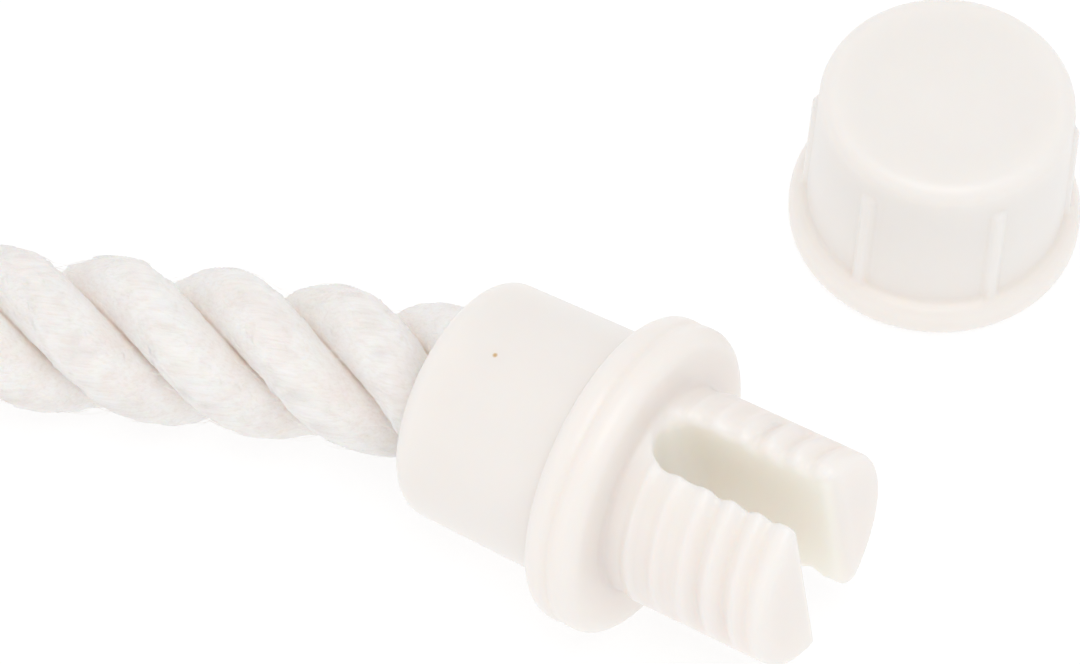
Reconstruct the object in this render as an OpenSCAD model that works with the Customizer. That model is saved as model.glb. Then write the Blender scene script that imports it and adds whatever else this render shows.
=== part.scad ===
// Flexible rope perch: a three-strand cotton rope over a bendable steel core wire, with a slotted,
// threaded end fitting glued on each end. The slot straddles an upright bar and a screw cap clamps it.
// +X points out along the near fitting's stud, +Z is up, and z = 0 is the surface the perch lies on.
// The near cap is unscrewed and stands on its open rim. The far cap is screwed on.

/* [Rope] */
// Diameter over the rope's strands
rope_d = 20; // [16:0.5:24]
// Diameter of the steel core wire
core_d = 3; // [2:0.5:4]
// Wall of the tape whipped round each rope end
tape_wall = 0.4; // [0.2:0.1:0.8]
// Bare rope between a socket's mouth and the tape
tape_setback = 4; // [2:0.5:8]
// Clearance between the tape and the socket, all round
socket_gap = 0.2; // [0.1:0.1:0.4]
// Thickness of the plug of glue between the rope's end and the bottom of the socket
glue_t = 2; // [1:0.5:4]

/* [Fitting] */
// Diameter of the clamping flange
flange_d = 39; // [34:0.5:48]
// Thickness of the clamping flange
flange_t = 7.3; // [6:0.1:12]
// Rounding of the flange's two lips
flange_lip_r = 2.2; // [1:0.1:2.8]
// Depth of the shallow waist between the flange's lips
flange_waist = 0.3; // [0.2:0.1:1]
// Wall of the ferrule at its mouth
ferrule_wall = 4.6; // [3.5:0.1:6]
// How much the ferrule's radius grows from its mouth to the flange
ferrule_draft = 0.3; // [0:0.1:1]
// Length of the ferrule behind the flange
ferrule_l = 21.3; // [17:0.1:30]
// Rounding of the ferrule's outer edge at its mouth
ferrule_edge_r = 2.6; // [0.5:0.1:4]
// Rounding of the socket's mouth, where the rope bends away
mouth_edge_r = 1.2; // [0.4:0.1:2]
// Plastic left between the socket's bottom and the flange's front face
web_t = 6; // [4:0.5:7]

/* [Stud] */
// Diameter over the thread's crests
stud_d = 26.8; // [22.8:0.2:33]
// Length of the stud in front of the flange
stud_l = 22.2; // [17.2:0.2:26]
// Depth of the thread
thread_h = 0.9; // [0.4:0.1:1.2]
// Pitch of the thread
pitch = 3.6; // [3:0.1:4.5]
// Length of the plain neck between the flange and the first thread
neck_l = 2.1; // [2.1:0.1:4]
// How far the neck lies inside the thread's crests
neck_step = 0.4; // [0.2:0.1:0.8]
// Rounding of the stud's tip
tip_r = 1.6; // [0.5:0.1:2.5]
// Width of the slot for the bar
slot_w = 7.5; // [5:0.1:9]
// Plastic left between the flange's front face and the slot's closed end
slot_root = 1.2; // [1:0.2:5]
// Roll of the near fitting about its own axis
near_roll = 3; // [-20:1:20]
// Rise of the near stud's axis, as the flange's edge and the rope rest on the surface
near_tilt = 7; // [0:0.5:10]

/* [Cap] */
// How far the cap's flange stands out from its barrel
cap_flange_w = 2.2; // [1.5:0.1:5]
// Thickness of the cap's flange
cap_flange_t = 5; // [3:0.5:8]
// Rounding of the cap's flange
cap_lip_r = 2; // [1:0.1:2.5]
// Wall of the cap's barrel at its closed end
cap_wall = 2.1; // [1.6:0.1:4]
// How much the barrel's radius grows from its closed end to the flange
cap_draft = 0.6; // [0:0.1:1.2]
// Rounding round the cap's closed end
cap_top_r = 2.2; // [0.5:0.1:3]
// Thickness of the cap's closed end
cap_roof_t = 2.6; // [1.5:0.1:4]
// Space inside the cap beyond the stud's tip
cap_spare = 1.8; // [1:0.1:6]
// Clearance between the thread's crests and the cap's bore, all round
thread_gap = 0.3; // [0.2:0.1:0.5]
// Number of grip ribs
rib_count = 6; // [4:1:12]
// Width of a grip rib
rib_w = 1.8; // [1:0.1:3]
// How far a rib stands out from the barrel at its foot
rib_h = 0.9; // [0.4:0.1:1.2]
// Height of barrel left plain above the ribs
rib_top_gap = 5; // [3:0.5:9]
// Turn of the near cap's ribs
near_cap_turn = 24; // [0:1:59]
// Gap left between the far cap and its flange
clamp_gap = 0.3; // [0.3:0.1:4]

/* [Hidden] */
$fn = 96;

axis_z = flange_d / 2;
fitting_back = flange_t + ferrule_l;
rope_grip_l = fitting_back - web_t - glue_t;
tape_l = rope_grip_l - tape_setback;
// Where the rope ends along a fitting's axis, counted from the flange's front face
rope_end = rope_grip_l - fitting_back;
socket_d = rope_d + 2 * (tape_wall + socket_gap);
ferrule_mouth_r = socket_d / 2 + ferrule_wall;
stud_core_r = stud_d / 2 - thread_h;
neck_r = stud_d / 2 - neck_step;
// Half the width of a crest's top, and how fast a crest widens towards the core
crest_half = 0.16 * pitch;
flank = 0.3 * pitch / thread_h;
// Middle of the first half turn: even at its lowest, a crest stands out past the neck only above the neck's end
first_turn = neck_l + 0.1 + pitch / 4 + crest_half + neck_step * flank;
cap_h = stud_l + cap_spare + cap_roof_t;
cap_bore_r = stud_d / 2 + thread_gap;
cap_top_barrel_r = cap_bore_r + cap_wall;
cap_base_barrel_r = cap_top_barrel_r + cap_draft;
// Length of wire past each end of the rope, into the glue
core_past = 0.6 * glue_t;

// Mouths of the two sockets, front faces of the two flanges, and the point where the near cap stands
near_way = [cos(near_tilt), 0, sin(near_tilt)];
far_way = [-1, 0, 0];
// The near fitting stands on its flange's back lip
near_mouth_z = flange_lip_r + (axis_z - flange_lip_r) * near_way[0] - (ferrule_l + flange_lip_r) * near_way[2];
near_mouth = [191.6, 5, near_mouth_z];
far_mouth = [-187.8, -67.9, axis_z];
near_face = near_mouth + fitting_back * near_way;
far_face = far_mouth + fitting_back * far_way;
near_cap_at = [near_face[0] + 1.8, near_face[1] + 63.8, 0];

// Rope centreline between the two mouths: down from the near fitting to the surface, along it in one
// soft S, and up to the far fitting. Both ends run straight into their sockets.
rope_z = rope_d / 2;
ROUTE = [
    [187, 4.5, 0.91], [182, 3.1, 0.82], [177, 1.4, 0.73], [172, -0.2, 0.64], [166, -2.4, 0.54], [160, -4.6, 0.44],
    [152, -7.8, 0.33], [144, -11.2, 0.23], [136, -14.8, 0.14], [128, -18.4, 0.07], [118, -22.8, 0.01],
    [106, -27.9, 0], [94, -32.4, 0], [82, -36.4, 0], [68, -40.7, 0], [52, -45.0, 0], [30, -50.1, 0],
    [4, -55.0, 0], [-22, -59.0, 0], [-47, -61.8, 0], [-72, -64.2, 0], [-98, -66.1, 0], [-118, -67.1, 0],
    [-136, -67.6, 0], [-144, -67.8, 0.06], [-152, -67.9, 0.2], [-160, -67.9, 0.42], [-168, -67.9, 0.68],
    [-175, -67.9, 0.87], [-182, -67.9, 0.97]
];
// Each route point's third number is its rise, as a share of the way from the surface to that end's socket
function on_route(p) = [p[0], p[1], rope_z + p[2] * ((p[0] > 0 ? near_mouth_z : axis_z) - rope_z)];
function centreline(past) = concat(
    [near_mouth + (rope_grip_l + past) * near_way, near_mouth],
    [for (p = ROUTE) on_route(p)],
    [far_mouth, far_mouth + (rope_grip_l + past) * far_way]);

// Points of an arc about c, from angle a0 to a1
function arc(c, r, a0, a1, steps = 6) =
    [for (i = [0:steps]) c + r * [cos(a0 + (a1 - a0) * i / steps), sin(a0 + (a1 - a0) * i / steps)]];

function unit(v) = v / norm(v);
function heading(path, i) =
    unit(path[min(i + 1, len(path) - 1)] - path[max(i - 1, 0)]);
// Ring of a tube at point i: one vertex straight down, in the plane across the path
function ring(path, i, r, sides) =
    let (t = heading(path, i), side = unit(cross(t, [0, 0, 1])), up = cross(side, t))
    [for (k = [0:sides - 1]) path[i] + r * (sin(k * 360 / sides) * side - cos(k * 360 / sides) * up)];

// Solid or hollow tube swept along a path
module tube(path, r_out, r_in, sides) {
    n = len(path);
    skins = r_in > 0 ? 2 : 1;
    points = concat(
        [for (i = [0:n - 1]) each ring(path, i, r_out, sides)],
        skins == 2 ? [for (i = [0:n - 1]) each ring(path, i, r_in, sides)] : []);
    function at(skin, i, k) = skin * n * sides + i * sides + k % sides;
    outer = [for (i = [0:n - 2]) for (k = [0:sides - 1])
        each [[at(0, i, k), at(0, i + 1, k), at(0, i + 1, k + 1)], [at(0, i, k), at(0, i + 1, k + 1), at(0, i, k + 1)]]];
    inner = [for (i = [0:n - 2]) for (k = [0:sides - 1])
        each [[at(1, i, k), at(1, i + 1, k + 1), at(1, i + 1, k)], [at(1, i, k), at(1, i, k + 1), at(1, i + 1, k + 1)]]];
    rims = [for (k = [0:sides - 1])
        each [[at(0, 0, k), at(0, 0, k + 1), at(1, 0, k + 1)], [at(0, 0, k), at(1, 0, k + 1), at(1, 0, k)],
              [at(0, n - 1, k), at(1, n - 1, k + 1), at(0, n - 1, k + 1)], [at(0, n - 1, k), at(1, n - 1, k), at(1, n - 1, k + 1)]]];
    caps = [[for (k = [0:sides - 1]) k], [for (k = [sides - 1:-1:0]) at(0, n - 1, k)]];
    polyhedron(points, skins == 2 ? concat(outer, inner, rims) : concat(outer, caps), convexity = 10);
}

// Round body of a fitting about +Z: ferrule, flange and plain neck, bored for the rope from behind
module fitting_body() {
    r_flange = flange_d / 2;
    lip = flange_lip_r;
    r_socket = socket_d / 2;
    // The two roundings at the mouth share its wall
    inner_r = min(mouth_edge_r, 0.3 * ferrule_wall);
    outer_r = min(ferrule_edge_r, 0.6 * ferrule_wall);
    rotate_extrude() polygon(concat(
        arc([r_socket + inner_r, inner_r - fitting_back], inner_r, 180, 270),
        arc([ferrule_mouth_r - outer_r, outer_r - fitting_back], outer_r, 270, 360),
        [[ferrule_mouth_r + ferrule_draft, -flange_t]],
        arc([r_flange - lip, lip - flange_t], lip, 270, 360),
        [[r_flange - flange_waist, -flange_t / 2]],
        arc([r_flange - lip, -lip], lip, 0, 90),
        [[neck_r, 0], [neck_r, neck_l], [0, neck_l], [0, -web_t], [r_socket, -web_t]]));
}

// One crest of the thread, as a closed ring about +Z. Its flanks run on into the core and cross its surface.
module crest() {
    sunk = 0.3;
    deep = crest_half + (thread_h + sunk) * flank;
    rotate_extrude() polygon([
        [stud_core_r - sunk, -deep], [stud_d / 2, -crest_half],
        [stud_d / 2, crest_half], [stud_core_r - sunk, deep]]);
}

// Half a turn of thread: a crest tipped by the lead angle and kept on one side of the slot.
// Its two ends stop short of the middle, inside the slot, so the two sides' turns never meet.
module half_turn(side, z) {
    lead = atan(pitch / 4 / (stud_d / 2));
    short = slot_w / 4;
    translate([0, 0, z]) intersection() {
        rotate([0, side * lead, 0]) crest();
        translate([-stud_d, side > 0 ? short : -short - stud_d, -pitch]) cube([2 * stud_d, stud_d, 2 * pitch]);
    }
}

// Threaded, slotted stud about +Z, from the flange's front face
module stud() {
    last = stud_l - 0.25 * pitch;
    tip_flat_r = stud_core_r - tip_r;
    difference() {
        intersection() {
            union() {
                translate([0, 0, neck_l - 0.5]) cylinder(r = stud_core_r, h = stud_l - neck_l + 0.5);
                for (z = [first_turn:pitch:last]) half_turn(-1, z);
                for (z = [first_turn + pitch / 2:pitch:last]) half_turn(1, z);
            }
            rotate_extrude() polygon([
                [0, 0], [stud_d / 2 + 0.3, 0], [stud_d / 2 + 0.3, stud_l - 2 * tip_r],
                [stud_core_r, stud_l - tip_r], [stud_core_r - 0.3 * tip_r, stud_l - 0.3 * tip_r],
                [tip_flat_r, stud_l], [0, stud_l]]);
        }
        slot();
    }
}

// Slot for the bar, with a round closed end
module slot() {
    z = slot_root + slot_w / 2;
    translate([-stud_d, -slot_w / 2, z]) cube([2 * stud_d, slot_w, stud_l]);
    rotate([0, 90, 0]) translate([-z, 0, -stud_d]) cylinder(d = slot_w, h = 2 * stud_d);
}

module fitting() {
    fitting_body();
    stud();
}

// Screw cap about +Z, with its open rim at z = 0
module cap() {
    r_flange = cap_base_barrel_r + cap_flange_w;
    lip = cap_lip_r;
    lead_in = 0.8 * cap_wall;
    difference() {
        union() {
            rotate_extrude() polygon(concat(
                [[0, 0]],
                arc([r_flange - lip, lip], lip, 270, 360),
                arc([r_flange - lip, cap_flange_t - lip], lip, 0, 90),
                [[cap_base_barrel_r, cap_flange_t]],
                arc([cap_top_barrel_r - cap_top_r, cap_h - cap_top_r], cap_top_r, 0, 90),
                [[0, cap_h]]));
            for (i = [0:rib_count - 1]) rotate([0, 0, i * 360 / rib_count]) rib();
        }
        translate([0, 0, -1]) cylinder(r = cap_bore_r, h = cap_h - cap_roof_t + 1);
        // Lead-in at the rim, half as deep as the cone below it is wide
        translate([0, 0, -lead_in / 2]) cylinder(r1 = cap_bore_r + lead_in, r2 = cap_bore_r, h = lead_in);
    }
}

// Grip rib standing out along +X, with a round nose and a round top
module rib() {
    nose = cap_base_barrel_r + rib_h - rib_w / 2;
    top = cap_h - rib_top_gap - rib_w / 2;
    foot = cap_flange_t - 0.5;
    root = cap_top_barrel_r - 1;
    translate([nose, 0, foot]) cylinder(d = rib_w, h = top - foot);
    translate([nose, 0, top]) sphere(d = rib_w);
    translate([root, -rib_w / 2, foot]) cube([nose - root, rib_w, top - foot]);
}

// Tape whipped round the rope's end, about +Z, inside a fitting's socket
module tape() {
    translate([0, 0, rope_end - tape_l]) difference() {
        cylinder(d = rope_d + 2 * tape_wall, h = tape_l);
        translate([0, 0, -1]) cylinder(d = rope_d, h = tape_l + 2);
    }
}

// Plug of set glue between the rope's end and the bottom of the socket, round the end of the wire
module glue() {
    translate([0, 0, rope_end]) difference() {
        cylinder(d = socket_d, h = -web_t - rope_end);
        translate([0, 0, -1]) cylinder(d = core_d, h = core_past + 1);
    }
}

module near_end() {
    translate(near_face) rotate([0, -near_tilt, 0]) rotate([near_roll, 0, 0]) rotate([0, 90, 0]) children();
}

module far_end() {
    translate(far_face) rotate([0, -90, 0]) children();
}

module rope() {
    color("ivory") tube(centreline(0), rope_d / 2, core_d / 2, 12);
}

module core_wire() {
    color("silver") tube(centreline(core_past), core_d / 2, 0, 12);
}

module near_fitting() {
    color("linen") near_end() fitting();
}

module far_fitting() {
    color("linen") far_end() fitting();
}

module near_cap() {
    color("linen") translate(near_cap_at) rotate([0, 0, near_cap_turn]) cap();
}

module far_cap() {
    color("linen") far_end() translate([0, 0, clamp_gap]) cap();
}

module near_tape() {
    color("tan") near_end() tape();
}

module far_tape() {
    color("tan") far_end() tape();
}

module near_glue() {
    color("wheat") near_end() glue();
}

module far_glue() {
    color("wheat") far_end() glue();
}

rope();
core_wire();
near_fitting();
far_fitting();
near_cap();
far_cap();
near_tape();
far_tape();
near_glue();
far_glue();
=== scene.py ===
"""Flexible rope perch: a three-strand cotton rope, a moulded, slotted stud at each end and two screw caps.

The frame gives every body and mount. The strands, the loose fibres, the fittings and the caps are built
here as meshes. The wire, tape and glue inside stay the CAD nodes, with a better material.
"""

import math

import bpy
import numpy as np
from mathutils import Matrix, Vector


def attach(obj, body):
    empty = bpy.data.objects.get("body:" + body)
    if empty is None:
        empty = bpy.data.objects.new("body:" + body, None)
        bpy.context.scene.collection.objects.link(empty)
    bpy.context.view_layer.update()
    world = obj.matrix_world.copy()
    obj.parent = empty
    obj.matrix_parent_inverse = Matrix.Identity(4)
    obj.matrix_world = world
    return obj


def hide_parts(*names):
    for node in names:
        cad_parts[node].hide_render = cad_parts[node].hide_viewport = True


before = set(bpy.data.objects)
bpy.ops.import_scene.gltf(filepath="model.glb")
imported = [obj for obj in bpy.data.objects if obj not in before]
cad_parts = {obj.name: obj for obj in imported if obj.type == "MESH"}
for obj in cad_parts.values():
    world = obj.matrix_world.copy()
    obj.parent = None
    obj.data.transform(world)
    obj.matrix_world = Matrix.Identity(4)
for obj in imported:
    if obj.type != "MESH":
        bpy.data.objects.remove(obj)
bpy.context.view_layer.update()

MM = 0.001


# ---------------------------------------------------------------- sizes, in millimetres

ROPE_D = 20.0
FLANGE_R = 19.5
FLANGE_T = 7.3
LIP_R = 2.2
WAIST_DEPTH = 0.25
WAIST_REACH = 0.5
FERRULE_L = 21.3
FERRULE_EDGE_R = 2.6
MOUTH_R = 15.2
FERRULE_DRAFT = 0.3
SOCKET_R = 10.6
SOCKET_EDGE_R = 1.2
SOCKET_FLOOR_R = 0.6
WEB_T = 6.0
BACK = FLANGE_T + FERRULE_L
STUD_R = 13.4
STUD_L = 22.2
THREAD_H = 0.9
PITCH = 3.6
NECK_R = 13.0
NECK_L = 2.1
TIP_R = 1.2
SLOT_W = 7.5
SLOT_ROOT = 1.2
SLOT_EDGE_R = 0.5
SLOT_ROLLED_R = 1.9
NEAR_ROLL = 3.0
NEAR_TILT = 7.0
CAP_H = 26.6
CAP_BORE_R = 13.7
CAP_ROOF = 2.6
CAP_BARREL_R = 16.4
CAP_DRAFT = 0.6
CAP_FLANGE_R = 18.6
CAP_FLANGE_T = 5.0
CAP_EDGE_R = 2.2
CAP_LIP_R = 1.9
RIB_COUNT = 6
RIB_W = 1.8
RIB_H = 0.9
RIB_TOP = 4.4
RIB_EDGE_R = 0.7
CAP_TURN = 24.0
CLAMP_GAP = 0.3
GRIP_L = 20.6
NET_STEP = 0.36

# Where the two sockets' mouths and the near cap stand. The near fitting stands on its flange's back lip.
NEAR_WAY = np.array((math.cos(math.radians(NEAR_TILT)), 0.0, math.sin(math.radians(NEAR_TILT))))
FAR_WAY = np.array((-1.0, 0.0, 0.0))
ROPE_Z = ROPE_D / 2
NEAR_MOUTH_Z = LIP_R + (FLANGE_R - LIP_R) * NEAR_WAY[0] - (FERRULE_L + LIP_R) * NEAR_WAY[2]
NEAR_MOUTH = np.array((191.6, 5.0, NEAR_MOUTH_Z))
FAR_MOUTH = np.array((-187.8, -67.9, FLANGE_R))
NEAR_FACE = NEAR_MOUTH + BACK * NEAR_WAY
FAR_FACE = FAR_MOUTH + BACK * FAR_WAY
CAP_AT = (NEAR_FACE[0] + 1.8, NEAR_FACE[1] + 63.8, 0.0)

# The rope's route: the points of the CAD tube, each with its rise towards that end's socket as a share
ROUTE = [
    (187, 4.5, 0.91), (182, 3.1, 0.82), (177, 1.4, 0.73), (172, -0.2, 0.64), (166, -2.4, 0.54),
    (160, -4.6, 0.44), (152, -7.8, 0.33), (144, -11.2, 0.23), (136, -14.8, 0.14), (128, -18.4, 0.07),
    (118, -22.8, 0.01), (106, -27.9, 0), (94, -32.4, 0), (82, -36.4, 0), (68, -40.7, 0),
    (52, -45.0, 0), (30, -50.1, 0), (4, -55.0, 0), (-22, -59.0, 0), (-47, -61.8, 0),
    (-72, -64.2, 0), (-98, -66.1, 0), (-118, -67.1, 0), (-136, -67.6, 0), (-144, -67.8, 0.06),
    (-152, -67.9, 0.2), (-160, -67.9, 0.42), (-168, -67.9, 0.68), (-175, -67.9, 0.87), (-182, -67.9, 0.97),
]


# ---------------------------------------------------------------- camera and light

CAMERA_AT = (351.17, -222.22, 449.91)
CAMERA_LOOKS_AT = (188.95, 26.75, 0.0)
CAMERA_LENS = 142.54
CAMERA_ROLL = -0.3
SKY_STRENGTH = 0.78
FLOOR_HALF = 3.0
FLOOR_SHADE = 0.3
FLOOR_GLOW = 0.72


def aim(place, look):
    """Matrix that stands something at a place and turns its -Z to what it looks at."""
    turn = (look - place).to_track_quat("-Z", "Y").to_matrix().to_4x4()
    return Matrix.Translation(place) @ turn


def add_camera():
    """A long lens that looks down on the near stud from beyond its tip."""
    data = bpy.data.cameras.new("camera")
    data.lens = CAMERA_LENS
    data.sensor_width = 36
    data.clip_end = 10
    cam = bpy.data.objects.new("camera", data)
    bpy.context.scene.collection.objects.link(cam)
    roll = Matrix.Rotation(math.radians(CAMERA_ROLL), 4, "Z")
    cam.matrix_world = aim(Vector(CAMERA_AT) * MM, Vector(CAMERA_LOOKS_AT) * MM) @ roll
    bpy.context.scene.camera = cam


def area_light(name, place, look, size, power):
    """A round, white soft lamp."""
    data = bpy.data.lights.new(name, "AREA")
    data.shape = "DISK"
    data.size = size
    data.energy = power
    lamp = bpy.data.objects.new(name, data)
    bpy.context.scene.collection.objects.link(lamp)
    lamp.matrix_world = aim(place, look)


def add_studio():
    """A pale floor, faintly lit from below, that runs out of sight, a white sky and soft lamps."""
    bpy.context.scene.view_settings.view_transform = "Standard"
    world = bpy.data.worlds.new("studio")
    bpy.context.scene.world = world
    world.use_nodes = True
    sky = world.node_tree.nodes["Background"]
    sky.inputs["Color"].default_value = (1.0, 1.0, 1.0, 1)
    sky.inputs["Strength"].default_value = SKY_STRENGTH
    mesh = bpy.data.meshes.new("floor")
    corners = [(x * FLOOR_HALF, y * FLOOR_HALF, 0) for x, y in ((-1, -1), (1, -1), (1, 1), (-1, 1))]
    mesh.from_pydata(corners, [], [(0, 1, 2, 3)])
    floor = bpy.data.objects.new("floor", mesh)
    bpy.context.scene.collection.objects.link(floor)
    white = plain("floor_white", (FLOOR_SHADE, FLOOR_SHADE, FLOOR_SHADE), 0.7)
    shader = white.node_tree.nodes["Principled BSDF"]
    shader.inputs["Emission Color"].default_value = (1, 1, 1, 1)
    shader.inputs["Emission Strength"].default_value = FLOOR_GLOW
    floor.data.materials.append(white)
    near = Vector(NEAR_FACE) * MM
    area_light("key", near + Vector((0.1, -0.1, 1.0)), near, 0.8, 2.8)
    area_light("front", near + Vector((-0.3, -0.95, 0.3)), near, 0.5, 0.4)


def plain(name, colour, roughness):
    """A material of one colour, for the floor."""
    mat = bpy.data.materials.new(name)
    mat.use_nodes = True
    shader = mat.node_tree.nodes["Principled BSDF"]
    shader.inputs["Base Color"].default_value = (*colour, 1)
    shader.inputs["Roughness"].default_value = roughness
    return mat


# ---------------------------------------------------------------- solids from a distance field

def hollow_out(a, b, r):
    """Distance field of a without b, with the edges between them rounded to r."""
    return both(a, -b, r)


def both(a, b, r):
    """Field of what lies in both, with a rounded outer edge."""
    return np.minimum(-r, np.maximum(a, b)) + np.hypot(np.maximum(a + r, 0), np.maximum(b + r, 0))


def either(a, b, r):
    """Field of the two joined, with a fillet in the corner between them."""
    return np.maximum(r, np.minimum(a, b)) - np.hypot(np.maximum(r - a, 0), np.maximum(r - b, 0))


def ease(x, low, high):
    """0 below low, 1 above high and a smooth step in between."""
    t = np.clip((x - low) / (high - low), 0, 1)
    return t * t * (3 - 2 * t)


def surface_net(field, low, high, step):
    """Vertices and quads of the surface where the field is 0, one vertex in each cell that it crosses."""
    lines = [np.arange(a, b + step, step) for a, b in zip(low, high)]
    values = field(*np.meshgrid(*lines, indexing="ij"))
    cells = np.array(values.shape) - 1
    strides = np.array((cells[1] * cells[2], cells[2], 1))
    owners, points, quads = [], [], []
    for axis in range(3):
        first = values.take(range(cells[axis]), axis)
        second = values.take(range(1, cells[axis] + 1), axis)
        at = np.argwhere((first < 0) != (second < 0))
        a, b = first[tuple(at.T)], second[tuple(at.T)]
        crossing = at.astype(float)
        crossing[:, axis] += a / (a - b)
        u, v = (axis + 1) % 3, (axis + 2) % 3
        around = []
        for du, dv in ((0, 0), (1, 0), (1, 1), (0, 1)):
            cell = at.copy()
            cell[:, u] -= du
            cell[:, v] -= dv
            around.append(cell @ strides)
            owners.append(around[-1])
            points.append(crossing)
        quad = np.stack(around, 1)
        quads.append(np.where((a < 0)[:, None], quad, quad[:, ::-1]))
    owners, points, quads = np.concatenate(owners), np.concatenate(points), np.concatenate(quads)
    used, index = np.unique(owners, return_inverse=True)
    count = np.bincount(index)
    verts = np.stack([np.bincount(index, points[:, k]) / count for k in range(3)], 1)
    return verts * step + np.array(low), np.searchsorted(used, quads)


def settle(verts, quads, field, rounds=3, reach=0.01):
    """Evens the quads out and draws every vertex onto the field's surface."""
    for _ in range(rounds):
        total, count = np.zeros_like(verts), np.zeros(len(verts))
        for k in range(4):
            here, there = quads[:, k], quads[:, (k + 1) % 4]
            for a, b in ((here, there), (there, here)):
                for axis in range(3):
                    total[:, axis] += np.bincount(a, verts[b, axis], len(verts))
                count += np.bincount(a, minlength=len(verts))
        verts = 0.5 * verts + 0.5 * total / count[:, None]
        for _ in range(2):
            slope = np.stack([
                (field(*(verts + step).T) - field(*(verts - step).T)) / (2 * reach)
                for step in np.eye(3) * reach], 1)
            steep = np.maximum((slope ** 2).sum(1), 0.25)
            verts = verts - np.clip(field(*verts.T) / steep, -0.3, 0.3)[:, None] * slope
    return verts


def mesh_of(name, verts, faces):
    """Smooth mesh from points in millimetres and quads."""
    mesh = bpy.data.meshes.new(name)
    mesh.vertices.add(len(verts))
    mesh.vertices.foreach_set("co", (np.asarray(verts) * MM).astype(np.float32).ravel())
    mesh.loops.add(faces.size)
    mesh.loops.foreach_set("vertex_index", faces.astype(np.int32).ravel())
    mesh.polygons.add(len(faces))
    mesh.polygons.foreach_set("loop_start", np.arange(0, faces.size, faces.shape[1], dtype=np.int32))
    mesh.polygons.foreach_set("use_smooth", np.ones(len(faces), dtype=bool))
    mesh.update(calc_edges=True)
    mesh.validate()
    return mesh


def put(name, mesh, placed=None):
    """A new object for the mesh, with its place in the vertices."""
    if placed is not None:
        mesh.transform(placed)
    obj = bpy.data.objects.new(name, mesh)
    bpy.context.scene.collection.objects.link(obj)
    return obj


# ---------------------------------------------------------------- moulded pieces, each about its own +Z

# A crest's height above the flange's face, straight out along the stud's local +X
CREST_Z = 4.56
# Below 1 the crests are broad, above 1 they are sharp
CREST_SHARPNESS = 0.85
# Turn about the stud, in degrees, of the line where the mould's halves meet
PARTING_AT = -24.0


def thread_depth(x, y, z, start, end):
    """How deep the groove between the thread's crests is, from 0 on a crest to 1, run out at both ends."""
    turns = (z - CREST_Z) / PITCH - np.arctan2(y, x) / (2 * math.pi)
    off_crest = turns - np.round(turns)
    crest = (0.5 + 0.5 * np.cos(2 * math.pi * off_crest)) ** CREST_SHARPNESS
    crest_z = z - off_crest * PITCH
    return (1 - crest) * ease(crest_z, *start) * (1 - ease(z, *end))


def fitting_field(x, y, z):
    """Ferrule, flange, neck and slotted stud. z = 0 is the flange's front face."""
    r = np.hypot(x, y)
    ferrule_r = MOUTH_R + FERRULE_DRAFT * (z + BACK) / FERRULE_L
    ferrule = both(r - ferrule_r, np.maximum(-BACK - z, z + 2), FERRULE_EDGE_R)
    waist = WAIST_DEPTH * np.exp(-((z + FLANGE_T / 2) / WAIST_REACH) ** 2)
    flange = both(r - FLANGE_R + waist, np.abs(z + FLANGE_T / 2) - FLANGE_T / 2, LIP_R)
    body = either(ferrule, flange, 0.9)
    # The grooves die out along the two lines where the mould's halves meet
    round_turn = np.arctan2(-x, -y)
    parting = ease(np.abs(np.sin(round_turn - math.radians(PARTING_AT))), 0.05, 0.35)
    starts = (NECK_L - 0.6, NECK_L + 0.2)
    ends = (STUD_L - 4.2, STUD_L - 1.0)
    groove = thread_depth(x, y, z, starts, ends) * parting
    neck = both(r - NECK_R, z - STUD_L / 2, 0.1)
    thread = both(r - STUD_R + THREAD_H * groove, np.maximum(z - STUD_L, NECK_L - z), TIP_R)
    stud = either(neck, thread, 0.3)
    solid = either(body, np.maximum(stud, -z - 3), 0.7)
    centre = SLOT_ROOT + SLOT_W / 2
    slot = np.where(z < centre, np.hypot(y, z - centre), np.abs(y)) - SLOT_W / 2
    # The slot's far edge is rolled over softly, its near edge is crisp
    solid = hollow_out(solid, slot, SLOT_EDGE_R + SLOT_ROLLED_R * ease(y, -2.0, 3.0))
    socket = both(r - SOCKET_R, z + WEB_T, SOCKET_FLOOR_R)
    return hollow_out(solid, socket, SOCKET_EDGE_R)


def cap_field(x, y, z):
    """Screw cap with grip ribs. z = 0 is its open rim."""
    r = np.hypot(x, y)
    barrel_r = CAP_BARREL_R - CAP_DRAFT * (z - CAP_FLANGE_T) / (CAP_H - CAP_FLANGE_T)
    barrel = both(r - barrel_r, np.maximum(z - CAP_H, 1 - z), CAP_EDGE_R)
    flange = both(r - CAP_FLANGE_R, np.abs(z - CAP_FLANGE_T / 2) - CAP_FLANGE_T / 2, CAP_LIP_R)
    sector = 2 * math.pi / RIB_COUNT
    turn = np.arctan2(y, x)
    off_rib = turn - sector * np.round(turn / sector)
    along, across = r * np.cos(off_rib), r * np.sin(off_rib)
    nose = both(np.abs(across) - RIB_W / 2, along - barrel_r - 0.75 * RIB_H, RIB_EDGE_R)
    rib = both(nose, np.maximum(z - CAP_H + RIB_TOP, 2 - z), RIB_EDGE_R)
    rib = np.maximum(rib, 10 - along)
    solid = either(either(barrel, rib, 0.45), flange, 0.8)
    depth = CAP_H - CAP_ROOF
    groove = 0.55 * thread_depth(x, y, z, (0.5, 2.5), (depth - 4.5, depth - 3))
    bore = both(r - CAP_BORE_R + 0.1 - groove, z - depth, 0.8)
    lead_in = r - CAP_BORE_R - 0.9 + z
    return hollow_out(hollow_out(solid, bore, 0.35), lead_in, 0.3)


# ---------------------------------------------------------------- where the moulded pieces stand

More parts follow.
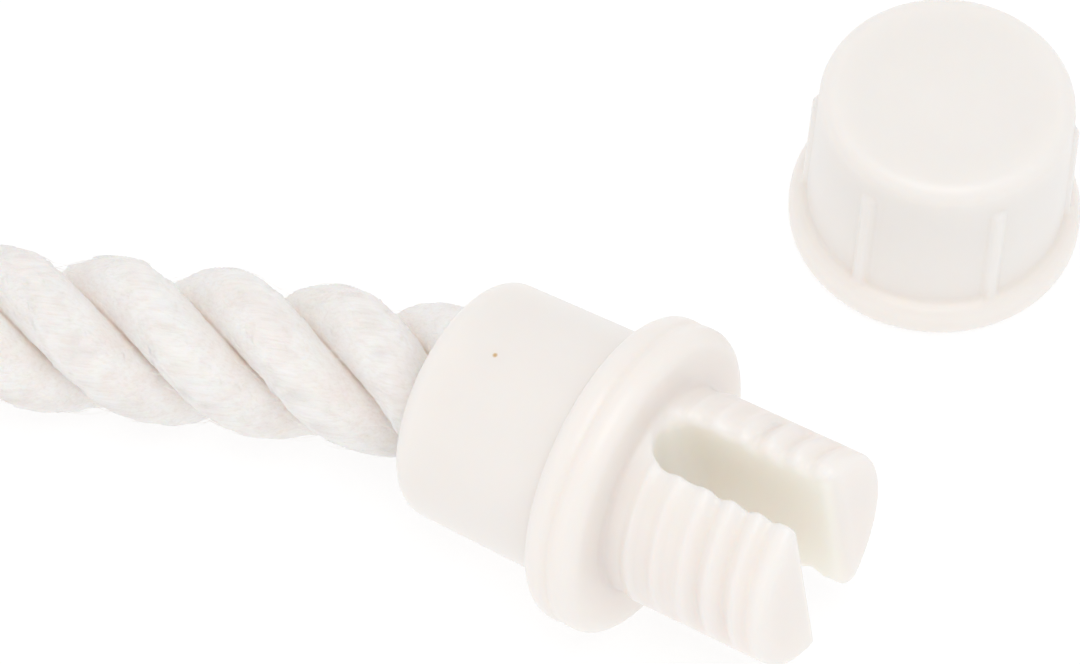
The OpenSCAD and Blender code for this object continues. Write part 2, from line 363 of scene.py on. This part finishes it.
def at_near_end():
    """Rolled about its own axis, then raised, with its +Z turned to +X."""
    roll = Matrix.Rotation(math.radians(NEAR_ROLL), 4, "X")
    tilt = Matrix.Rotation(math.radians(-NEAR_TILT), 4, "Y") @ roll
    return Matrix.Translation(Vector(NEAR_FACE) * MM) @ tilt @ Matrix.Rotation(math.radians(90), 4, "Y")


def at_far_end(forward=0.0):
    """Its +Z turned to -X, and moved forward along it by so many millimetres."""
    turn = Matrix.Rotation(math.radians(-90), 4, "Y")
    return Matrix.Translation(Vector(FAR_FACE) * MM) @ turn @ Matrix.Translation((0, 0, forward * MM))


def at_near_cap():
    """On its open rim, turned so that its ribs face the right way."""
    return Matrix.Translation(Vector(CAP_AT) * MM) @ Matrix.Rotation(math.radians(CAP_TURN), 4, "Z")


def moulded(name, field, low, high):
    """Mesh of a field's surface between two corners."""
    verts, quads = surface_net(field, low, high, NET_STEP)
    verts = settle(verts, quads, field)
    return mesh_of(name, verts, quads)


def mark_slot_glow(mesh):
    """Marks how deep in the slot each point of a fitting lies, from 0 outside to 1, as the mask of the
    painted light inside the slot.
    """
    spots = np.empty(3 * len(mesh.vertices), dtype=np.float32)
    mesh.vertices.foreach_get("co", spots)
    x, y, z = (spots.reshape(-1, 3) / MM).T
    between = 1 - ease(np.abs(y), SLOT_W / 2 + 0.1, SLOT_W / 2 + 1.2)
    hollow = between * ease(STUD_R - np.hypot(x, y), 0, 3) * ease(z, SLOT_ROOT - 1, SLOT_ROOT)
    store(mesh, "hollow", "FLOAT", "value", hollow)


def add_fittings(material):
    """Both ends' fittings. Gives the far one back, because the rope's far end is in it."""
    reach = FLANGE_R + 1
    mesh = moulded("fitting", fitting_field, (-reach, -reach, -BACK - 1), (reach, reach, STUD_L + 1))
    mark_slot_glow(mesh)
    mesh.materials.append(material)
    near = put("near_stud", mesh.copy(), at_near_end())
    far = put("far_stud", mesh, at_far_end())
    for piece, node in ((near, "near_fitting"), (far, "far_fitting")):
        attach(piece, "perch")
        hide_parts(node)
    return far


def add_caps(material):
    """Both caps. Gives the far one back, because it sits on the rope's far end."""
    reach = CAP_FLANGE_R + 1
    mesh = moulded("cap", cap_field, (-reach, -reach, -1), (reach, reach, CAP_H + 1))
    mesh.materials.append(material)
    near = put("near_screw_cap", mesh.copy(), at_near_cap())
    far = put("far_screw_cap", mesh, at_far_end(CLAMP_GAP))
    for piece, body in ((near, "near_cap"), (far, "far_cap")):
        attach(piece, body)
        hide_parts(body)
    return far


# ---------------------------------------------------------------- rope

# Length of one full turn of the strands
LEAD = 42.2
STRANDS = 3
LAY_PHASE = -0.42
# A strand's section is an oval, this far from the rope's middle
STRAND_IN = 5.25
STRAND_TALL = 4.75
STRAND_WIDE = 5.5
RINGS = 860
STRAND_SIDES = 24
FIBRES = 2400
FIBRE_STEPS = 6


def centreline():
    """The rope's centreline as a smooth curve: points 0.25 mm apart, and the length along it at each."""
    route = []
    for x, y, rise in ROUTE:
        mouth_z = NEAR_MOUTH[2] if x > 0 else FAR_MOUTH[2]
        route.append((x, y, ROPE_Z + rise * (mouth_z - ROPE_Z)))
    near = [NEAR_MOUTH + GRIP_L * share * NEAR_WAY for share in (1, 0.5, 0)]
    far = [FAR_MOUTH + GRIP_L * share * FAR_WAY for share in (0, 0.5, 1)]
    fixed = np.array([*near, *route, *far])
    knots = np.concatenate(([0], np.cumsum(np.linalg.norm(np.diff(fixed, axis=0), axis=1))))
    # Natural cubic spline through the points
    n = len(fixed)
    gap = np.diff(knots)
    system, right = np.eye(n), np.zeros((n, 3))
    for i in range(1, n - 1):
        system[i, i - 1: i + 2] = gap[i - 1], 2 * (gap[i - 1] + gap[i]), gap[i]
        right[i] = 6 * ((fixed[i + 1] - fixed[i]) / gap[i] - (fixed[i] - fixed[i - 1]) / gap[i - 1])
    bend = np.linalg.solve(system, right)
    t = np.linspace(0, knots[-1], int(knots[-1] * 4))
    i = np.clip(np.searchsorted(knots, t, side="right") - 1, 0, n - 2)
    a, b = (knots[i + 1] - t) / gap[i], (t - knots[i]) / gap[i]
    a, b, h = a[:, None], b[:, None], gap[i][:, None]
    line = a * fixed[i] + b * fixed[i + 1] + ((a ** 3 - a) * bend[i] + (b ** 3 - b) * bend[i + 1]) * h * h / 6
    along = np.concatenate(([0], np.cumsum(np.linalg.norm(np.diff(line, axis=0), axis=1))))
    return line, along


def untwisted_frames(line):
    """Two directions across the line at each point, carried along it without twist. u starts upwards."""
    tangent = np.gradient(line, axis=0)
    tangent /= np.linalg.norm(tangent, axis=1)[:, None]
    us = np.zeros_like(line)
    u = np.array((0.0, 0.0, 1.0))
    for i, t in enumerate(tangent):
        u = u - t * (u @ t)
        u /= np.linalg.norm(u)
        us[i] = u
    return tangent, us, np.cross(tangent, us)


def rope_frames(stations):
    """The line and its two cross directions at some lengths along it, and the rope's whole length."""
    line, along = centreline()
    tangent, u, v = untwisted_frames(line)
    parts = [np.stack([np.interp(stations, along, part[:, k]) for k in range(3)], 1) for part in (line, u, v)]
    return parts, along[-1]


def strand_outline():
    """One strand's share of the rope's section, groove to groove: distance out and turn from its middle."""
    turn = np.linspace(-math.pi / STRANDS, math.pi / STRANDS, STRAND_SIDES + 1)
    turn = turn * (0.82 + 0.18 * np.abs(turn) * STRANDS / math.pi)
    flat = np.cos(turn) ** 2 / STRAND_TALL ** 2 + np.sin(turn) ** 2 / STRAND_WIDE ** 2
    lean = STRAND_IN * np.cos(turn) / STRAND_TALL ** 2
    out = (lean + np.sqrt(lean ** 2 - flat * ((STRAND_IN / STRAND_TALL) ** 2 - 1))) / flat
    return out[:-1], turn[:-1]


def add_rope(material):
    """The three strands as one closed mesh. Gives the piece and its length in millimetres."""
    total = rope_frames(np.zeros(1))[1]
    stations = np.linspace(0, total, RINGS)
    (line, u, v), _ = rope_frames(stations)
    out, turn = strand_outline()
    out = np.tile(out, STRANDS)
    turn = np.concatenate([turn + k * 2 * math.pi / STRANDS for k in range(STRANDS)])
    sides = len(out)
    twist = 2 * math.pi * stations / LEAD + LAY_PHASE
    angle = twist[:, None] + turn[None, :]
    radius = np.broadcast_to(out, angle.shape).copy()
    # Yarns: shallow ridges that run along the rope, and a slow unevenness
    straight = np.stack([
        np.broadcast_to(stations[:, None], angle.shape), radius * np.cos(angle), radius * np.sin(angle)], 2)
    radius += yarns(straight)
    # Inside the sockets the tape holds the strands together
    mouths = np.minimum(stations, total - stations) - GRIP_L
    held = 1 - ease(mouths, -3.0, 6.0)[:, None]
    radius = radius * (1 - held) + np.minimum(radius, ROPE_D / 2 - 0.2) * held
    points = line[:, None] + radius[..., None] * (
        np.cos(angle)[..., None] * u[:, None] + np.sin(angle)[..., None] * v[:, None])
    points = points.reshape(-1, 3)
    points[:, 2] = np.maximum(points[:, 2], 0.02)
    ring, side = np.meshgrid(np.arange(RINGS - 1), np.arange(sides), indexing="ij")
    a, b = ring * sides + side, ring * sides + (side + 1) % sides
    quads = np.stack([a, b, b + sides, a + sides], -1).reshape(-1, 4)
    # The cut ends are closed by a fan round a middle point
    ends = np.stack([line[0], line[-1]])
    points = np.concatenate([points, ends])
    first = np.arange(sides)
    last = (RINGS - 1) * sides + first
    middle = RINGS * sides
    fans = [np.stack([np.full(sides, middle), np.roll(first, -1), first], 1),
            np.stack([np.full(sides, middle + 1), last, np.roll(last, -1)], 1)]
    mesh = bpy.data.meshes.new("rope")
    faces = [tuple(q) for q in quads.tolist()] + [tuple(f) for f in np.concatenate(fans).tolist()]
    mesh.from_pydata((points * MM).tolist(), [], faces)
    mesh.polygons.foreach_set("use_smooth", np.ones(len(faces), dtype=bool))
    rest = np.concatenate([straight.reshape(-1, 3), [[0, 0, 0], [total, 0, 0]]])
    store(mesh, "straight", "FLOAT_VECTOR", "vector", rest)
    # Painted shade: how far each point lies down the crease between two strands, for the cotton to darken it
    groove = ease(STRAND_IN + STRAND_TALL - np.broadcast_to(out, angle.shape), 0.3, 5.0).ravel()
    store(mesh, "groove", "FLOAT", "value", np.concatenate([groove, [0, 0]]))
    mesh.update()
    mesh.materials.append(material)
    return put("rope_strands", mesh), total


def store(mesh, name, kind, field, values):
    """Keeps a value for each of the mesh's points, for its material to read."""
    layer = mesh.attributes.new(name, kind, "POINT")
    layer.data.foreach_set(field, np.asarray(values, dtype=np.float32).ravel())


def yarns(straight):
    """Height of the yarns over a strand's smooth surface: waves across the rope, slow along it."""
    rng = np.random.default_rng(11)
    height = np.zeros(straight.shape[:2])
    for size, tall in ((2.6, 0.10), (1.5, 0.08), (0.9, 0.05)):
        for _ in range(7):
            way = rng.uniform(0, 2 * math.pi)
            across = 2 * math.pi / (size * rng.uniform(0.8, 1.25))
            slow = rng.uniform(-0.25, 0.25)
            phase = rng.uniform(0, 2 * math.pi)
            height += tall / 2 * np.sin(
                across * (straight[..., 1] * math.cos(way) + straight[..., 2] * math.sin(way))
                + slow * straight[..., 0] + phase)
    return height


def add_fibres(material):
    """Loose fibre ends that stand off the strands, all lying roughly along the rope."""
    rng = np.random.default_rng(5)
    total = rope_frames(np.zeros(1))[1]
    low, high = GRIP_L + 2, total - GRIP_L - 2
    count = FIBRES
    steps = FIBRE_STEPS
    start = rng.uniform(low, high, count)
    length = rng.uniform(2.5, 9, count) * rng.choice([1, -1], count)
    twist_at = rng.uniform(0, 2 * math.pi, count)
    lean = rng.normal(0, 0.035, count)
    rise = np.abs(rng.normal(0, 0.45, count)) + 0.05
    curl = rng.normal(0, 0.05, count)
    verts, faces = [], []
    out, turn = strand_outline()
    share = np.linspace(0, 1, steps)
    stations = np.clip(start[:, None] + length[:, None] * share, low - 2, high + 2)
    angle = twist_at[:, None] + lean[:, None] * (stations - start[:, None]) + curl[:, None] * share ** 2 * 3
    phase = angle - 2 * math.pi * stations / LEAD - LAY_PHASE
    sector = 2 * math.pi / STRANDS
    off = phase - sector * np.round(phase / sector)
    here = np.interp(off, np.append(turn, math.pi / STRANDS), np.append(out, out[0]))
    here = np.maximum(here, 7.0)
    radius = here.max(axis=1, keepdims=True) * 0.5 + here * 0.5 + rise[:, None] * share ** 1.5 - 0.1
    (line, u, v), _ = rope_frames(stations.ravel())
    tip = line + radius.ravel()[:, None] * (
        np.cos(angle).ravel()[:, None] * u + np.sin(angle).ravel()[:, None] * v)
    tip = tip.reshape(count, steps, 3)
    tip[..., 2] = np.maximum(tip[..., 2], 0.06)
    thick = rng.uniform(0.018, 0.03, count)
    for path, t in zip(tip, thick):
        base = len(verts)
        way = np.gradient(path, axis=0)
        way /= np.linalg.norm(way, axis=1)[:, None]
        side = np.cross(way, (0.3, 0.2, 0.93))
        side /= np.linalg.norm(side, axis=1)[:, None]
        up = np.cross(side, way)
        for k in range(steps):
            r = t * (1 - 0.6 * k / (steps - 1))
            for corner in range(3):
                a = corner * 2 * math.pi / 3
                verts.append(path[k] + r * (math.cos(a) * side[k] + math.sin(a) * up[k]))
        for k in range(steps - 1):
            for corner in range(3):
                a, b = base + 3 * k + corner, base + 3 * k + (corner + 1) % 3
                faces.append((a, b, b + 3, a + 3))
        faces.append((base + 2, base + 1, base))
        end = base + 3 * (steps - 1)
        faces.append((end, end + 1, end + 2))
    mesh = bpy.data.meshes.new("fibres")
    mesh.from_pydata((np.array(verts) * MM).tolist(), [], faces)
    mesh.materials.append(material)
    return put("rope_fibres", mesh)


# ---------------------------------------------------------------- materials

# Sockets of a colour mix node
SHARE = 0
FIRST = 6
SECOND = 7
MIXED = 2


class Nodes:
    """Shorthand for a material's node tree."""

    def __init__(self, name):
        self.mat = bpy.data.materials.new(name)
        self.mat.use_nodes = True
        self.tree = self.mat.node_tree
        self.shader = self.tree.nodes["Principled BSDF"]

    def add(self, kind, links=(), **values):
        node = self.tree.nodes.new(kind)
        for key, value in values.items():
            if hasattr(node, key):
                setattr(node, key, value)
            else:
                node.inputs[key.replace("_", " ")].default_value = value
        for socket, source in dict(links).items():
            self.tree.links.new(source, node.inputs[socket])
        return node

    def set(self, **values):
        for key, value in values.items():
            self.shader.inputs[key.replace("_", " ")].default_value = value

    def link(self, source, socket):
        self.tree.links.new(source, self.shader.inputs[socket])

    def ramp(self, source, stops):
        node = self.add("ShaderNodeValToRGB", {"Fac": source})
        marks = node.color_ramp.elements
        while len(marks) < len(stops):
            marks.new(1.0)
        for mark, (at, colour) in zip(marks, stops):
            mark.position = at
            mark.color = (*colour, 1)
        return node.outputs["Color"]


# Middle of the gate's mark on the near ferrule
GATE_AT = (198.05, 3.15, 32.65)


def white_plastic():
    """Milky, slightly translucent plastic, with one gate mark and painted light inside the slot."""
    n = Nodes("milky_polypropylene")
    place = n.add("ShaderNodeTexCoord").outputs["Object"]
    cloud = n.add("ShaderNodeTexNoise", {"Vector": place}, Scale=90.0, Detail=3.0)
    outside = n.ramp(cloud.outputs["Fac"], [(0.3, (0.872, 0.826, 0.79)), (0.7, (0.882, 0.836, 0.802))])
    # Painted light: the base colour is paler and yellower inside the slot, standing in for the light that
    # reaches it through both walls
    hollow = n.add("ShaderNodeAttribute", attribute_name="hollow").outputs["Fac"]
    slot_glow_colour = n.add("ShaderNodeMix", data_type="RGBA")
    slot_glow_colour.inputs[SECOND].default_value = (0.975, 0.925, 0.855, 1)
    n.tree.links.new(hollow, slot_glow_colour.inputs[SHARE])
    n.tree.links.new(outside, slot_glow_colour.inputs[FIRST])
    body = slot_glow_colour.outputs[MIXED]
    # A tiny amber mark on the near ferrule, where the mould's gate was
    away = n.add("ShaderNodeVectorMath", {0: place}, operation="DISTANCE")
    away.inputs[1].default_value = tuple(Vector(GATE_AT) * MM)
    scaled = n.add("ShaderNodeMath", {0: away.outputs["Value"]}, operation="MULTIPLY", use_clamp=True)
    scaled.inputs[1].default_value = 2000.0
    speck = n.ramp(scaled.outputs["Value"], [(0.0, (1, 1, 1)), (0.35, (0.8, 0.8, 0.8)), (0.75, (0, 0, 0))])
    marked = n.add("ShaderNodeMix", data_type="RGBA")
    marked.inputs[SECOND].default_value = (0.62, 0.4, 0.16, 1)
    n.tree.links.new(speck, marked.inputs[SHARE])
    n.tree.links.new(body, marked.inputs[FIRST])
    n.link(marked.outputs[MIXED], "Base Color")
    grain = n.add("ShaderNodeTexNoise", {"Vector": place}, Scale=2600.0, Detail=2.0)
    ripple = n.add("ShaderNodeTexNoise", {"Vector": place}, Scale=260.0, Detail=1.0)
    low = n.add("ShaderNodeBump", {"Height": ripple.outputs["Fac"]}, Strength=0.2, Distance=0.00006)
    fine = n.add("ShaderNodeBump", {"Height": grain.outputs["Fac"], "Normal": low.outputs["Normal"]},
                 Strength=0.2, Distance=0.00002)
    n.link(fine.outputs["Normal"], "Normal")
    rough = n.add("ShaderNodeMapRange", {"Value": cloud.outputs["Fac"]})
    rough.inputs["To Min"].default_value = 0.3
    rough.inputs["To Max"].default_value = 0.35
    n.link(rough.outputs["Result"], "Roughness")
    n.set(IOR=1.49, Subsurface_Weight=0.7, Subsurface_Scale=0.005)
    n.shader.inputs["Subsurface Radius"].default_value = (1.0, 0.83, 0.7)
    return n.mat


def cotton():
    """Unbleached cotton: streaks along the rope, and painted shade that darkens the groove between the
    strands.
    """
    n = Nodes("natural_cotton")
    straight = n.add("ShaderNodeAttribute", attribute_name="straight").outputs["Vector"]
    groove = n.add("ShaderNodeAttribute", attribute_name="groove").outputs["Fac"]
    drawn = n.add("ShaderNodeMapping", {"Vector": straight})
    drawn.inputs["Scale"].default_value = (0.09, 1.0, 1.0)
    lengthwise = {"Vector": drawn.outputs["Vector"]}
    streak = n.add("ShaderNodeTexNoise", lengthwise, Scale=2.6, Detail=5.0, Roughness=0.65)
    hair = n.add("ShaderNodeTexNoise", lengthwise, Scale=9.0, Detail=4.0, Roughness=0.7)
    blotch = n.add("ShaderNodeTexNoise", {"Vector": straight}, Scale=0.25, Detail=3.0)
    body = n.ramp(streak.outputs["Fac"], [
        (0.3, (0.90, 0.865, 0.835)), (0.5, (0.955, 0.93, 0.912)), (0.7, (0.975, 0.96, 0.947))])
    tint = n.ramp(blotch.outputs["Fac"], [(0.35, (0.965, 0.94, 0.93)), (0.65, (1, 1, 1))])
    tinted = n.add("ShaderNodeMix", data_type="RGBA", blend_type="MULTIPLY")
    tinted.inputs[SHARE].default_value = 1.0
    n.tree.links.new(body, tinted.inputs[FIRST])
    n.tree.links.new(tint, tinted.inputs[SECOND])
    # Painted shade: darker and warmer towards the crease between the strands
    deep = n.ramp(groove, [(0.0, (1, 1, 1)), (0.75, (0.99, 0.98, 0.97)), (1.0, (0.95, 0.88, 0.80))])
    groove_shade_mix = n.add("ShaderNodeMix", data_type="RGBA", blend_type="MULTIPLY")
    groove_shade_mix.inputs[SHARE].default_value = 1.0
    n.tree.links.new(tinted.outputs[MIXED], groove_shade_mix.inputs[FIRST])
    n.tree.links.new(deep, groove_shade_mix.inputs[SECOND])
    n.link(groove_shade_mix.outputs[MIXED], "Base Color")
    low = n.add("ShaderNodeBump", {"Height": streak.outputs["Fac"]}, Strength=0.4, Distance=0.0004)
    fine = n.add("ShaderNodeBump", {"Height": hair.outputs["Fac"], "Normal": low.outputs["Normal"]},
                 Strength=0.4, Distance=0.0002)
    n.link(fine.outputs["Normal"], "Normal")
    n.set(Roughness=0.9, Specular_IOR_Level=0.25, Sheen_Weight=0.25, Sheen_Roughness=0.5)
    n.set(Subsurface_Weight=0.5, Subsurface_Scale=0.004)
    n.shader.inputs["Subsurface Radius"].default_value = (1.0, 0.7, 0.5)
    return n.mat


def fibre_cotton():
    """The same cotton on the loose fibres."""
    n = Nodes("loose_cotton_fibre")
    place = n.add("ShaderNodeTexCoord").outputs["Object"]
    cloud = n.add("ShaderNodeTexNoise", {"Vector": place}, Scale=120.0, Detail=2.0)
    n.link(n.ramp(cloud.outputs["Fac"], [(0.3, (0.86, 0.82, 0.78)), (0.7, (0.95, 0.93, 0.91))]), "Base Color")
    n.set(Roughness=0.85, Specular_IOR_Level=0.3)
    return n.mat


def drawn_wire():
    """Galvanised steel of the core wire."""
    n = Nodes("galvanised_wire")
    place = n.add("ShaderNodeTexCoord").outputs["Object"]
    cloud = n.add("ShaderNodeTexNoise", {"Vector": place}, Scale=400.0, Detail=4.0)
    n.link(n.ramp(cloud.outputs["Fac"], [(0.3, (0.42, 0.43, 0.44)), (0.7, (0.6, 0.61, 0.62))]), "Base Color")
    n.set(Metallic=1.0, Roughness=0.42)
    return n.mat


def woven_tape():
    """Cloth tape round the rope's ends."""
    n = Nodes("cloth_tape")
    place = n.add("ShaderNodeTexCoord").outputs["Object"]
    weave = n.add("ShaderNodeTexWave", {"Vector": place}, Scale=800.0, Distortion=1.5)
    n.link(n.ramp(weave.outputs["Fac"], [(0.2, (0.52, 0.42, 0.3)), (0.8, (0.68, 0.57, 0.43))]), "Base Color")
    bump = n.add("ShaderNodeBump", {"Height": weave.outputs["Fac"]}, Strength=0.5, Distance=0.0002)
    n.link(bump.outputs["Normal"], "Normal")
    n.set(Roughness=0.85)
    return n.mat


def set_glue():
    """Amber glue in the sockets."""
    n = Nodes("set_glue")
    place = n.add("ShaderNodeTexCoord").outputs["Object"]
    cloud = n.add("ShaderNodeTexNoise", {"Vector": place}, Scale=220.0, Detail=3.0)
    n.link(n.ramp(cloud.outputs["Fac"], [(0.3, (0.72, 0.62, 0.42)), (0.7, (0.85, 0.77, 0.6))]), "Base Color")
    n.set(Roughness=0.35, Subsurface_Weight=0.4, Subsurface_Scale=0.003)
    return n.mat


def dress(node, material):
    """Gives a carried-over CAD node its material."""
    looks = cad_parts[node].data.materials
    looks.clear()
    looks.append(material)


# ---------------------------------------------------------------- the whole object

add_camera()
add_studio()
plastic = white_plastic()
far_fitting = add_fittings(plastic)
far_cap = add_caps(plastic)
rope, rope_length = add_rope(cotton())
fibres = add_fibres(fibre_cotton())
for piece in (rope, fibres):
    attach(piece, "perch")
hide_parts("rope")
dress("core_wire", drawn_wire())
tape_look = woven_tape()
glue_look = set_glue()
for end in ("near", "far"):
    dress(end + "_tape", tape_look)
    dress(end + "_glue", glue_look)

path = rope_frames(np.linspace(0, rope_length, 120))[0][0] * MM
